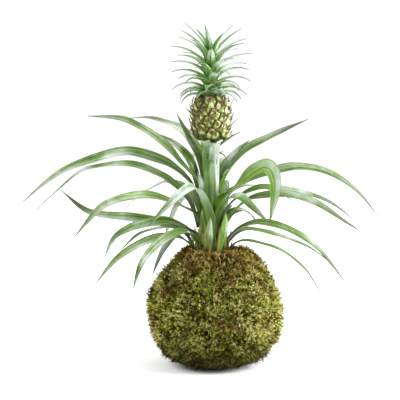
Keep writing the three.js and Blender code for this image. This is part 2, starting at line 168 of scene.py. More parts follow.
def linkSurface(material, colour, relief=None, depth=0.0, roughness=None):
    # links the finished colour to the shader, and a relief that is depth millimetres high
    tree = material.node_tree
    inputs = tree.nodes["Principled BSDF"].inputs
    tree.links.new(colour, inputs["Base Color"])
    if relief:
        bump = addNode(tree, "Bump", {"Height": relief, "Distance": depth * mm})
        tree.links.new(bump["Normal"], inputs["Normal"])
    if roughness:
        tree.links.new(roughness, inputs["Roughness"])
    return material


# Shape tools


def lerp(a, b, share):
    return a + (b - a) * share


def smooth(x, low, high):
    share = min(max((x - low) / (high - low), 0), 1)
    return share * share * (3 - 2 * share)


def curvePoint(points, share):
    # a smooth curve through every point, share from 0 to 1
    last = len(points) - 1
    i = min(int(share * last), last)
    w = share * last - i
    before, here = points[max(i - 1, 0)], points[i]
    after, beyond = points[min(i + 1, last)], points[min(i + 2, last)]
    place = []
    for a, b, c, d in zip(before, here, after, beyond):
        start, end = (c - a) / 2, (d - b) / 2
        cubic = 2 * b - 2 * c + start + end
        square = -3 * b + 3 * c - 2 * start - end
        place.append(((cubic * w + square) * w + start) * w + b)
    return place


def evenCurve(points, samples=200):
    # the same curve by share of its length, and its length
    places = [curvePoint(points, i / samples) for i in range(samples + 1)]
    lengths = [0.0]
    for a, b in zip(places, places[1:]):
        lengths.append(lengths[-1] + math.dist(a, b))

    def at(share):
        target = share * lengths[-1]
        i = min(max(bisect.bisect_right(lengths, target) - 1, 0), samples - 1)
        part = (target - lengths[i]) / (lengths[i + 1] - lengths[i])
        return curvePoint(points, (i + part) / samples)

    return at, lengths[-1]


def finishPiece(bm, name, material, slot, *nodes, sharp=50):
    for face in bm.faces:
        face.smooth = True
    bmesh.ops.transform(bm, matrix=Matrix.Scale(mm, 4), verts=bm.verts)
    mesh = bpy.data.meshes.new(name)
    bm.to_mesh(mesh)
    bm.free()
    mesh.set_sharp_from_angle(angle=math.radians(sharp))
    mesh.materials.append(material)
    piece = bpy.data.objects.new(name, mesh)
    scene.collection.objects.link(piece)
    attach(piece, "root")
    if nodes:
        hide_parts(*nodes)


def fullTurn(bm, geom, steps, gap=0.01):
    # spins an outline once about Z, closes its seam and poles, and turns its faces outwards
    bmesh.ops.spin(
        bm, geom=geom, axis=(0, 0, 1), cent=(0, 0, 0), steps=steps,
        angle=2 * math.pi, use_merge=True,
    )
    bmesh.ops.remove_doubles(bm, verts=bm.verts, dist=gap)
    bmesh.ops.recalc_face_normals(bm, faces=bm.faces)


def turnedBody(profile, steps, x=0.0):
    # a closed body of revolution about an upright axis at x, from (radius, height) pairs
    bm = bmesh.new()
    verts = [bm.verts.new((r, 0, z)) for r, z in profile]
    edges = [bm.edges.new(pair) for pair in zip(verts, verts[1:])]
    fullTurn(bm, verts + edges, steps)
    bmesh.ops.translate(bm, vec=(x, 0, 0), verts=bm.verts)
    return bm


def flatStrip(lengthCuts, widthCuts):
    # a unit box along X, cut for bending, with its place kept in UV (u across, v along)
    # and whether a face is the underside kept in a colour layer
    bm = bmesh.new()
    bmesh.ops.create_cube(bm, size=1)
    for axis, cuts in ((0, lengthCuts), (1, widthCuts)):
        edges = [e for e in bm.edges if abs((e.verts[0].co - e.verts[1].co)[axis]) > 1e-5]
        bmesh.ops.subdivide_edges(bm, edges=edges, cuts=cuts, use_grid_fill=True)
    uvLayer = bm.loops.layers.uv.new("blade")
    skinLayer = bm.loops.layers.float_color.new("skin")
    bm.normal_update()
    for face in bm.faces:
        under = 1.0 if face.normal.z < -0.5 else 0.0
        for loop in face.loops:
            loop[uvLayer].uv = (loop.vert.co.y + 0.5, loop.vert.co.x + 0.5)
            loop[skinLayer] = (under, 0, 0, 1)
    mesh = bpy.data.meshes.new("strip")
    bm.to_mesh(mesh)
    bm.free()
    return mesh


def bentStrip(bm, strip, place, tone=0.0, age=0.5):
    # adds a copy of the strip to bm, each vertex moved by place(along, across, through)
    start = len(bm.verts)
    bm.from_mesh(strip)
    bm.verts.ensure_lookup_table()
    skinLayer = bm.loops.layers.float_color["skin"]
    for vert in bm.verts[start:]:
        x, y, z = vert.co
        vert.co = place(x + 0.5, y * 2, z)
        for loop in vert.link_loops:
            under = loop[skinLayer][0]
            loop[skinLayer] = (under, tone, age, 1)


# Moss ball

mossBall = {
    "foot": [(0, 0.4), (14, 0.4), (26, 0.4)],
    "outline": [
        (27, 0), (50.5, 9), (67, 24), (76.5, 44), (79.5, 70), (76.5, 88), (68, 106), (56, 123),
        (41.5, 137),
    ],
    "collar": [(41.5, 137), (36.5, 140.5), (32, 141), (28, 136), (27, 130)],
    "steps": 120,
    "lumps": [(9, 1.6), (4, 0.9)],  # how wide and how high the mat's soft lumps are
    "thickness": 8,
    "centreUp": 70,
    "sunk": 2.2,  # the mat under the sprigs lies this much inside the solid's tufts
}


def pressed(x, y, z):
    # the hand-pressed ball isn't round: soft swellings, and a wider right shoulder
    around = math.atan2(y, x)
    side = smooth(z, 6, 40) * (1 - smooth(z, 118, 140))
    swelling = 0.018 * math.sin(3 * around + 1.1) * math.sin(z / 24)
    swelling += 0.014 * math.sin(5 * around - 0.7 + z / 16)
    shoulder = 0.07 * math.cos(around) * smooth(z, 96, 138)
    scale = 1 + side * swelling + shoulder
    return Vector((x * scale, y * scale, z))


def collarWave(around):
    return 2 * math.cos(2 * around) + 1.2 * math.sin(5 * around + 0.6)


def onBall(r, z, around):
    # a place on the ball's skin from its profile, with the opening moved onto the plant
    z += collarWave(around) * smooth(z, 134, 140) * smooth(r, 20, 30)
    x = r * math.cos(around) + plantX * (1 - smooth(r, 33, 38)) * smooth(z, 128, 131)
    return pressed(x, r * math.sin(around), z)


def skinPoint(profile, share, around, proud=0.0):
    # a place and the outward direction on a profile curve turned about Z
    here = Vector(curvePoint(profile, share))
    ahead = Vector(curvePoint(profile, min(share + 0.004, 1)))
    behind = Vector(curvePoint(profile, max(share - 0.004, 0)))
    along = (ahead - behind).normalized()
    place = onBall(here.x + along.y * proud, here.y - along.x * proud, around)
    normal = Vector((along.y * math.cos(around), along.y * math.sin(around), -along.x))
    return place, normal


def mossMat():
    outline, sunk, wall = mossBall["outline"], mossBall["sunk"], mossBall["thickness"]
    profile = list(mossBall["foot"])
    for curve, cuts in ((outline, 36), (mossBall["collar"], 8)):
        profile += [tuple(curvePoint(curve, i / cuts)) for i in range(1, cuts + 1)]
    for r, z in reversed(outline[1:-1]):
        profile.append((r - wall * 0.8, z + (wall * 0.6 if z < 60 else -3)))
    profile.append((0, wall))
    bm = turnedBody(profile, mossBall["steps"])
    for vert in bm.verts:
        x, y, z = vert.co
        r, around = math.hypot(x, y), math.atan2(y, x)
        if z > 1 and r > 20:
            lump = sum(high * noise.noise(vert.co / wide) for wide, high in mossBall["lumps"])
            r -= sunk * smooth(z, 1, 12) + lump * smooth(z, 1, 12)
        vert.co = onBall(r, z, around)
    return bm


mossSprigs = {
    "spacing": 1.7,
    "kinds": (14, 12, 8),  # how many different tufts, fronds and hairs there are
    "tuftHeight": 3.8,
    "tuftLeaves": 5,
    "frondShare": 0.12,
    "frondLength": 7.0,
    "frondLeaves": 8,
    "hairs": 3000,
    "hairLength": (10, 17),
    "rim": [(41.5, 137), (33, 140), (25, 138), (17, 136)],  # where the top rows grow
    "reach": 12,  # shoots nearer the floor than this are turned up if they would touch it
    "seed": 11,
}


def leaflet(bm, place, direction, length, width, bent=0.5):
    # one moss leaf: a flattened three-sided spike
    turn = direction.to_track_quat("Z", "X").to_matrix().to_4x4()
    shape = Matrix.Translation(place) @ turn @ Matrix.Diagonal((1, bent, 1, 1))
    shape = shape @ Matrix.Translation((0, 0, length / 2))
    bmesh.ops.create_cone(
        bm, cap_ends=True, segments=3, radius1=width / 2, radius2=0, depth=length, matrix=shape
    )


def sprigMesh(bm, length):
    # stores in UV how far up the sprig each corner is
    layer = bm.loops.layers.uv.new("sprig")
    tone = bm.loops.layers.float_color.new("tone")
    for face in bm.faces:
        for loop in face.loops:
            loop[layer].uv = (0.5, min(max(loop.vert.co.z / length, 0), 1))
            loop[tone] = (0, 0, 0, 1)
    mesh = bpy.data.meshes.new("sprig")
    bm.to_mesh(mesh)
    bm.free()
    return mesh


def tuft(rng):
    # an upright shoot with leaflets all round
    height = mossSprigs["tuftHeight"] * rng.uniform(0.8, 1.2)
    bm = bmesh.new()
    lean = Vector((rng.uniform(-0.25, 0.25), rng.uniform(-0.25, 0.25), 1)).normalized()
    leaflet(bm, Vector((0, 0, -0.8)), lean, height + 0.8, 0.7, 1.0)
    leaves = mossSprigs["tuftLeaves"]
    for i in range(leaves):
        share = (i + 0.8) / (leaves + 0.5)
        turn = i * goldenAngle + rng.uniform(-0.3, 0.3)
        tilt = math.radians(rng.uniform(38, 72))
        out = Vector((math.cos(turn) * math.sin(tilt), math.sin(turn) * math.sin(tilt), math.cos(tilt)))
        leaflet(bm, lean * height * share, out, rng.uniform(1.5, 2.4), rng.uniform(0.55, 0.85))
    return sprigMesh(bm, height + 1)


def frond(rng):
    # a feathery shoot that lies along the ball, its leaflets in two rows
    length = mossSprigs["frondLength"] * rng.uniform(0.75, 1.2)
    curl = rng.uniform(-0.35, 0.35)
    bm = bmesh.new()

    def spine(s):
        return Vector((curl * length * s * s, 0.12 * length * s * (1 - s), length * s))

    foot, middle, tip = spine(0), spine(0.5), spine(1)
    leaflet(bm, foot, (middle - foot).normalized(), length * 0.62, 0.55, 1.0)
    leaflet(bm, middle, (tip - middle).normalized(), length * 0.55, 0.5, 1.0)
    leaves = mossSprigs["frondLeaves"]
    for i in range(leaves):
        s = (i + 0.7) / (leaves + 0.5)
        side = 1 if i % 2 else -1
        out = Vector((side * rng.uniform(0.7, 1), rng.uniform(-0.3, 0.3), rng.uniform(0.5, 1)))
        leaflet(bm, spine(s), out.normalized(), lerp(2.9, 1.4, s), rng.uniform(0.7, 1.0))
    return sprigMesh(bm, length)


def dryHair(rng):
    # a dry spore stem that sticks out of the ball
    length = rng.uniform(*mossSprigs["hairLength"])
    bm = bmesh.new()
    bend = Vector((rng.uniform(-0.7, 0.7), rng.uniform(-0.7, 0.7), 1)).normalized()
    leaflet(bm, Vector((0, 0, 0)), Vector((0, 0, 1)), length * 0.8, 1.3, 1.0)
    leaflet(bm, Vector((0, 0, length * 0.4)), bend, length * 0.6, 1.0, 1.0)
    return sprigMesh(bm, length)


def dryness(place, rng):
    # 0 where the moss is fresh, 1 where it is brown: round the top and in a few patches
    patches = smooth(noise.noise(place / 22 + Vector((3, 1, 7))), 0.05, 0.45) * 0.8
    top = smooth(place.z + 16 * noise.noise(place / 12), 106, 134) * 0.95
    return min(max(patches, top) + rng.uniform(-0.3, 0.3), 1)


def combed(place):
    # the way the moss lies when the ball is pressed together: long swirls over its skin
    return noise.noise_vector(place / 34 + Vector((9, 2, 4))) * 3


def ballPlaces(rng):
    # even rows over the ball from the floor to the plant's foot: place, outward direction
    spacing = mossSprigs["spacing"]
    inwards = mossBall["sunk"] + 0.6
    at, length = evenCurve(mossBall["outline"][:-1] + mossSprigs["rim"])
    rows = int(length / spacing)
    places = []
    for row in range(rows):
        share = (row + 0.5) / rows
        r, z = at(share)
        ahead = Vector(at(min(share + 0.01, 1))) - Vector(at(max(share - 0.01, 0)))
        ahead.normalize()
        count = int(2 * math.pi * r / spacing)
        for k in range(count):
            around = 2 * math.pi * (k + rng.uniform(-0.45, 0.45)) / count
            step = rng.uniform(-0.5, 0.5) * spacing
            deep = inwards * smooth(z, 2, 12)
            out, height = r + ahead.x * step - ahead.y * deep, z + ahead.y * step + ahead.x * deep
            place = onBall(out, max(height, 1.2), around)
            normal = Vector((ahead.y * math.cos(around), ahead.y * math.sin(around), -ahead.x))
            places.append((place, normal))
    return places


def scatter(name, sprigs, material):
    # sprigs: (template mesh, matrix, tone colour)
    bm = bmesh.new()
    for template, matrix, tone in sprigs:
        copy = template.copy()
        copy.transform(matrix)
        layer = copy.attributes["tone"]
        layer.data.foreach_set("color", tone * len(layer.data))
        bm.from_mesh(copy)
        bpy.data.meshes.remove(copy)
    finishPiece(bm, name, material, "moss", "moss_cover", sharp=180)


def aimed(place, direction, yaw, size):
    turn = direction.to_track_quat("Z", "X").to_matrix().to_4x4()
    return Matrix.Translation(place) @ turn @ Matrix.Rotation(yaw, 4, "Z") @ Matrix.Scale(size, 4)


def offFloor(place, direction, reach):
    # a shoot that would end under the floor turns up instead
    direction.normalize()
    if place.z + direction.z * reach < 1:
        direction.z = abs(direction.z)
    return direction


def quarterOf(place):
    # 0 left, 1 front, 2 right, 3 back
    return int((math.atan2(place.y, place.x) / (2 * math.pi) + 0.625) % 1 * 4)


def growMoss(material):
    rng = random.Random(mossSprigs["seed"])
    noise.seed_set(mossSprigs["seed"])  # or the swirls change from run to run
    reach = mossSprigs["reach"]
    shapes = zip((tuft, frond, dryHair), mossSprigs["kinds"])
    tufts, fronds, hairs = [[shape(rng) for _ in range(count)] for shape, count in shapes]
    quarters = [[], [], [], []]
    places = ballPlaces(rng)
    for place, normal in places:
        # painted light: the moss on the right is made lighter, as the light falls from the right; besides
        # that the tone varies at random from clump to clump
        clumpAndSideLight = 0.67 + place.x / 560 + 1.3 * noise.noise(place / 2.5) + rng.uniform(-0.6, 0.6)
        tone = [clumpAndSideLight, dryness(place, rng), rng.random(), 1.0]
        anyWay = Vector([rng.gauss(0, 0.5) for _ in range(3)]) + combed(place)
        lying = (anyWay - normal * anyWay.dot(normal)).normalized()
        nearCollar = smooth(place.z, 122, 134)
        if place.z > 6 and rng.random() < mossSprigs["frondShare"] + 0.4 * nearCollar:
            standing = rng.random() < 0.3 + 0.5 * nearCollar
            lift = rng.uniform(0.6, 1.8) if standing else rng.uniform(0.1, 0.4)
            direction = offFloor(place, lying + normal * lift, reach)
            raised = place + normal * rng.uniform(0.4, 1.8)
            matrix = aimed(raised, direction, rng.uniform(-0.6, 0.6), rng.uniform(0.8, 1.15))
            sprig = rng.choice(fronds)
        else:
            direction = offFloor(place, normal + lying * rng.uniform(0.2, 2.2), reach)
            raised = place + normal * (1.2 * noise.noise(place / 5))
            size = rng.uniform(0.6, 1.6) * smooth(place.z, -4, 6)
            matrix = aimed(raised, direction, rng.uniform(0, 6.28), size)
            sprig = rng.choice(tufts)
        quarters[quarterOf(place)].append((sprig, matrix, tone))
    for place, normal in rng.sample(places, mossSprigs["hairs"]):
        if place.z > 12:
            anyWay = Vector([rng.gauss(0, 1) for _ in range(3)])
            direction = offFloor(place, normal + anyWay * 0.4, mossSprigs["hairLength"][1])
            matrix = aimed(place, direction, rng.uniform(0, 6.28), rng.uniform(0.6, 1.0))
            tone = [rng.uniform(0, 0.5), rng.uniform(0, 0.8), rng.uniform(0.2, 0.7), 1.0]
            quarters[quarterOf(place)].append((rng.choice(hairs), matrix, tone))
    for name, sprigs in zip(("left", "front", "right", "back"), quarters):
        scatter(f"moss_sprigs_{name}", sprigs, material)
    return len(places)


def mossSprigMaterial():
    # sheet moss, living and part dried: matt leaflets in every shade from lime to rust, with
    # painted shade where they meet the mat, and pale at their tips
    material, add = newMaterial("sheet moss leaflets", 0.85, 0.02)
    spot = add("TexCoord")["Object"]
    tone = add("VertexColor", {"layer_name": "tone"})["Color"]
    tone = add("SeparateColor", {"Color": tone})
    up = add("UVMap", {"uv_map": "sprig"})["UV"]
    up = add("SeparateXYZ", {"Vector": up})["Y"]
    patch = add("TexNoise", {"Vector": spot, "Scale": 60.0, "Detail": 4.0})["Fac"]
    shade = add("Math", timesPlus | {0: patch, 1: 2.6, 2: tone["Red"]})[0]
    shade = add("Math", minus | {0: shade, 1: 1.24})[0]
    fresh = add("ValToRGB", {"Fac": shade, "stops": [
        (0.0, "#121402"), (0.3, "#4e5206"), (0.55, "#9a9c20"), (0.8, "#dcd852"), (1.0, "#f6f0a0"),
    ]})["Color"]
    dry = add("ValToRGB", {"Fac": tone["Blue"], "stops": [
        (0.0, "#1c1608"), (0.35, "#503e18"), (0.65, "#886a2c"), (0.85, "#bc9452"), (1.0, "#e4cc94"),
    ]})["Color"]
    # here and there a cushion of greener moss
    cushion = add("TexNoise", {"Vector": spot, "Scale": 38.0, "Detail": 2.0})["Fac"]
    greener = {"Value": cushion, "From Min": 0.5, "From Max": 0.68, "To Max": 0.8}
    green = add("Mix", tinted | {6: fresh, 7: "#a8c878"})[2]
    fresh = add("Mix", mixed | {0: add("MapRange", fade | greener)[0], 6: fresh, 7: green})[2]
    dried = add("MapRange", fade | {"Value": tone["Green"], "From Min": 0.2, "From Max": 1.0})[0]
    colour = add("Mix", mixed | {0: dried, 6: fresh, 7: dry})[2]
    # painted shade: darker at the foot of each shoot, down between the shoots where shade falls
    deep = add("Mix", tinted | {6: colour, 7: "#40360e"})[2]
    fromFoot = add("MapRange", fade | {"Value": up, "From Min": 0.2, "From Max": 0.8})[0]
    colour = add("Mix", mixed | {0: fromFoot, 6: deep, 7: colour})[2]
    # painted shade: darker towards the floor, where the ball stands
    height = add("SeparateXYZ", {"Vector": spot})["Z"]
    floorShade = {"Value": height, "From Min": 55 * mm, "From Max": 0.0, "To Max": 0.85}
    colour = add("Mix", mixed | {0: add("MapRange", fade | floorShade)[0], 6: colour, 7: "#1e1c08"})[2]
    return linkSurface(material, colour)


def mossMatMaterial():
    # the felted brown underside of old moss: dark, with flecks of green
    material, add = newMaterial("felted moss mat", 0.95, 0.15)
    spot = add("TexCoord")["Object"]
    flecks = add("TexNoise", {"Vector": spot, "Scale": 420.0, "Detail": 4.0})["Fac"]
    stops = [(0.35, "#1d180b"), (0.55, "#37300f"), (0.7, "#5a4a1e")]
    colour = add("ValToRGB", {"Fac": flecks, "stops": stops})["Color"]
    return linkSurface(material, colour, flecks, 0.8)


finishPiece(mossMat(), "moss_mat", mossMatMaterial(), "moss", "moss_cover", sharp=180)
print("moss sprigs:", growMoss(mossSprigMaterial()))


# Rosette leaves

leafBlades = {
    "firstAzimuth": 205,
    "zone": (134, 228),  # heights on the stem of the lowest and highest leaf
    "stemRadius": (16, 8),
    "lengthCuts": 46,
    "widthCuts": 7,
    "footWidth": 0.85,  # of the full width, reached at three tenths of the length
    "tipWidth": 0.06,
    "taper": 3.1,  # a higher power keeps the blade broad for longer
    "cup": 0.3,  # how deep the gutter is, as a share of half the width
    "wave": 0.35,
    "thickness": (1.3, 0.8),
    # how silvery each leaf is, from fresh green to full wax bloom
    "bloom": [
        0.5, 0.0, 0.3, 0.4, 0.0, 0.4, 0.1, 0.5, 0.45, 0.1,
        0.2, 0.68, 0.45, 0.4, 0.4, 0.5, 0.35, 0.6, 0.6, 0.3,
        0.3, 0.6, 0.45, 0.9, 0.15, 0.6, 0.6, 0.1, 0.5, 0.4,
        0.35, 0.4, 1.0, 0.6, 0.45, 0.4, 0.7, 0.15, 0.8, 0.65,
    ],
    # lime young shoots are nearer 0, leaves with a long withered tip nearer 1, all others 0.5
    "age": {
        1: 1.0, 3: 0.28, 4: 1.0, 5: 1.0, 6: 0.08, 9: 1.0, 14: 1.0, 16: 0.4, 19: 0.8,
        21: 0.7, 22: 1.0, 27: 0.2, 30: 1.0, 34: 0.8, 35: 1.0, 36: 0.9, 39: 0.42,
    },
}
# turn on the way out, width, twist, then (distance from the stem's axis, height) pairs
leafRows = [
    (0, 14, -35, [(25, 147), (38, 157), (56, 160), (86, 155), (121, 137), (149, 108)]),
    (10, 11, 5, [
        (24, 144), (33, 152), (45, 154), (62, 151),
        (81, 145), (97, 136), (118, 116), (135, 87),
    ]),
    (35, 12, 25, [(24, 146), (40, 157), (58, 156), (72, 136), (80, 104)]),
    (12, 12, 0, [(21, 150), (25.4, 162), (27.7, 174), (28.8, 184)]),
    (-10, 13, 25, [(25, 150), (40, 161), (59, 163), (100, 153), (143, 135), (172, 112)]),
    (-4, 16, -40, [
        (24, 150), (30, 159), (42, 167), (63, 174),
        (100, 179), (138, 182), (160, 189), (188, 211),
    ]),
    (0, 14, 0, [(21, 154), (25, 166), (27, 178), (28, 189)]),
    (0, 15, 10, [(24, 154), (42, 167), (78, 174), (118, 154), (150, 108)]),
    (-4, 13, -35, [(23, 153), (33, 163), (50, 167), (77, 159), (98, 145), (111, 129), (120, 103)]),
    (0, 16, 30, [(24, 158), (38, 169), (61, 174), (95, 165), (130, 142), (165, 99)]),
    (15, 14, 10, [(23, 158), (34, 163), (55, 166), (82, 162), (103, 154), (124, 134)]),
    (-58, 15, -30, [
        (21, 168), (26, 184), (33, 201), (42, 216),
        (54, 221), (68, 214), (82, 198), (96, 175),
    ]),
    (20, 13, 0, [(23, 164), (32, 177), (46, 188), (66, 190), (88, 178)]),
    (-2, 16, -40, [(22, 164), (34, 171), (56, 177), (86, 173), (104, 167), (118, 157), (129, 135)]),
    (12, 14, 35, [
        (20, 172), (27, 186), (45, 201), (62, 208),
        (97, 211), (132, 202), (168, 179), (186, 168),
    ]),
    (5, 15, -10, [(22, 170), (30, 182), (44, 194), (82, 203), (126, 180), (160, 134)]),
    (8, 12, 0, [(20, 178), (22, 192), (23, 204)]),
    (14, 14, 20, [(21, 174), (28, 184), (42, 188), (58, 182), (72, 168)]),
    (5, 15, -25, [
        (20, 182), (26, 197), (35, 209), (49, 221), (65, 231),
        (103, 243), (149, 239), (175, 228), (225, 185),
    ]),
    (12, 14, 30, [(20, 186), (29, 199), (44, 208), (62, 209), (81, 198), (105, 181)]),
    (8, 15, 8, [(21, 182), (28, 196), (43, 210), (76, 221), (120, 203), (154, 158)]),
    (-4, 15, -40, [
        (19.5, 185), (31, 192), (52, 201), (81, 210),
        (107, 210), (132, 205), (151, 195), (180, 164),
    ]),
    (22, 13, 30, [
        (18, 190), (25, 199), (37, 208), (50, 214),
        (66, 217), (108, 211), (147, 197), (184, 171),
    ]),
    (20, 13, -20, [
        (19, 190), (27, 200), (38, 208), (56, 218),
        (76, 220), (96, 211), (112, 202), (131, 182),
    ]),
    (3, 15, 0, [(19.5, 200), (21.5, 220), (26, 238), (35, 249), (50, 252), (64, 244)]),
    (-12, 10, 15, [(18, 194), (23, 202), (36, 213), (58, 217), (84, 212), (106, 204), (124, 193)]),
    (6, 18, -40, [
        (16, 203), (20, 214), (27, 226), (43, 240), (61, 250),
        (97, 260), (132, 254), (180, 236), (225, 201),
    ]),
    (-6, 22, 60, [
        (16, 199), (22, 208), (37, 218), (55, 230), (72, 240),
        (89, 246), (101, 242), (108, 228), (107, 208), (101, 180),
    ]),
    (8, 15, 0, [(19, 204), (28, 222), (45, 242), (78, 254), (106, 249), (122, 238)]),
    (0, 11, 0, [(16, 208), (18.5, 220), (22, 230), (27, 236)]),
    (-8, 16, 35, [
        (16, 203), (22, 209), (33, 217), (47, 225), (77, 236),
        (107, 241), (143, 234), (177, 212), (203, 181),
    ]),
    (10, 13, -25, [(18.5, 218), (23, 235), (30, 251), (43, 264), (61, 274), (94, 287)]),
    (-10, 14, 0, [(15.5, 222), (18, 240), (22, 256), (31, 268), (45, 271), (59, 263), (70, 248)]),
    (8, 14, 0, [(17, 218), (23, 231), (34, 244), (50, 250), (66, 246)]),
    (-8, 17, -40, [
        (15, 222), (21, 231), (30, 240), (40, 250), (53, 265),
        (68, 278), (87, 290), (110, 300), (148, 303),
    ]),
    (10, 16, 40, [(14.5, 222), (22, 237), (35, 254), (48, 266), (66, 275), (84, 284), (117, 299)]),
    (22, 13, -25, [(15, 236), (26, 255), (46, 276), (65, 288), (87, 294), (113, 299), (140, 298)]),
    (8, 13, 0, [(14, 236), (17, 254), (23, 268), (35, 274), (48, 269), (60, 255)]),
    (0, 15, 25, [(14, 233), (21, 243), (31, 253), (42, 263), (54, 272)]),
    (-5, 11, -35, [(13, 240), (15.5, 254), (24, 270), (34, 288), (43, 305)]),
]


def rootHeight(index):
    # the feet crowd together low on the stem
    low, high = leafBlades["zone"]
    share = index / (len(leafRows) - 1)
    return lerp(low, high, share**1.25) - 4 * share


def stemRadiusAt(z):
    low, high = leafBlades["zone"]
    return lerp(*leafBlades["stemRadius"], ((z - low) / (high - low)) ** 1.4)


def leafPlacer(index):
    # where a leaf has a point of its blade, by (along, across, through)
    turn, width, twist, path = leafRows[index]
    start = rootHeight(index)
    rootOut = stemRadiusAt(start) + 2
    at, _ = evenCurve([(rootOut, start), *path])
    azimuth = math.radians(leafBlades["firstAzimuth"]) + index * goldenAngle
    stations = {}

    def centre(along):
        s = min(max(along, 0), 1)
        out, height = at(s)
        angle = azimuth + math.radians(turn) * s
        return Vector((plantX + out * math.cos(angle), out * math.sin(angle), height))

    def station(s):
        if s not in stations:
            angle = azimuth + math.radians(turn) * s
            forward = (centre(s + 0.01) - centre(s - 0.01)).normalized()
            side = Vector((-math.sin(angle), math.cos(angle), 0))
            side = (side - forward * side.dot(forward)).normalized()
            side.rotate(Matrix.Rotation(math.radians(twist) * smooth(s, 0.04, 0.42), 3, forward))
            stations[s] = (centre(s), side, forward.cross(side))
        return stations[s]

    def place(along, across, through):
        s = round(along, 5)
        middle, side, face = station(s)
        narrowing = lerp(leafBlades["footWidth"], 1, smooth(s, 0, 0.3)) * (1 - s ** leafBlades["taper"])
        halfWidth = width / 2 * max(narrowing, leafBlades["tipWidth"])
        clasp = halfWidth / (2 * rootOut)  # the foot bends round the stem
        cup = halfWidth * lerp(clasp, leafBlades["cup"], smooth(s, 0, 0.25))
        ripple = math.sin(s * 23 + index * 2 + across * 1.4) * abs(across) * smooth(s, 0.1, 0.3)
        lift = (abs(across) ** 1.4 - 0.45) * cup + leafBlades["wave"] * ripple * narrowing
        thickness = lerp(*leafBlades["thickness"], s) * lerp(1, 0.4, across * across)
        return middle + side * (across * halfWidth) + face * (lift + through * thickness)

    return place


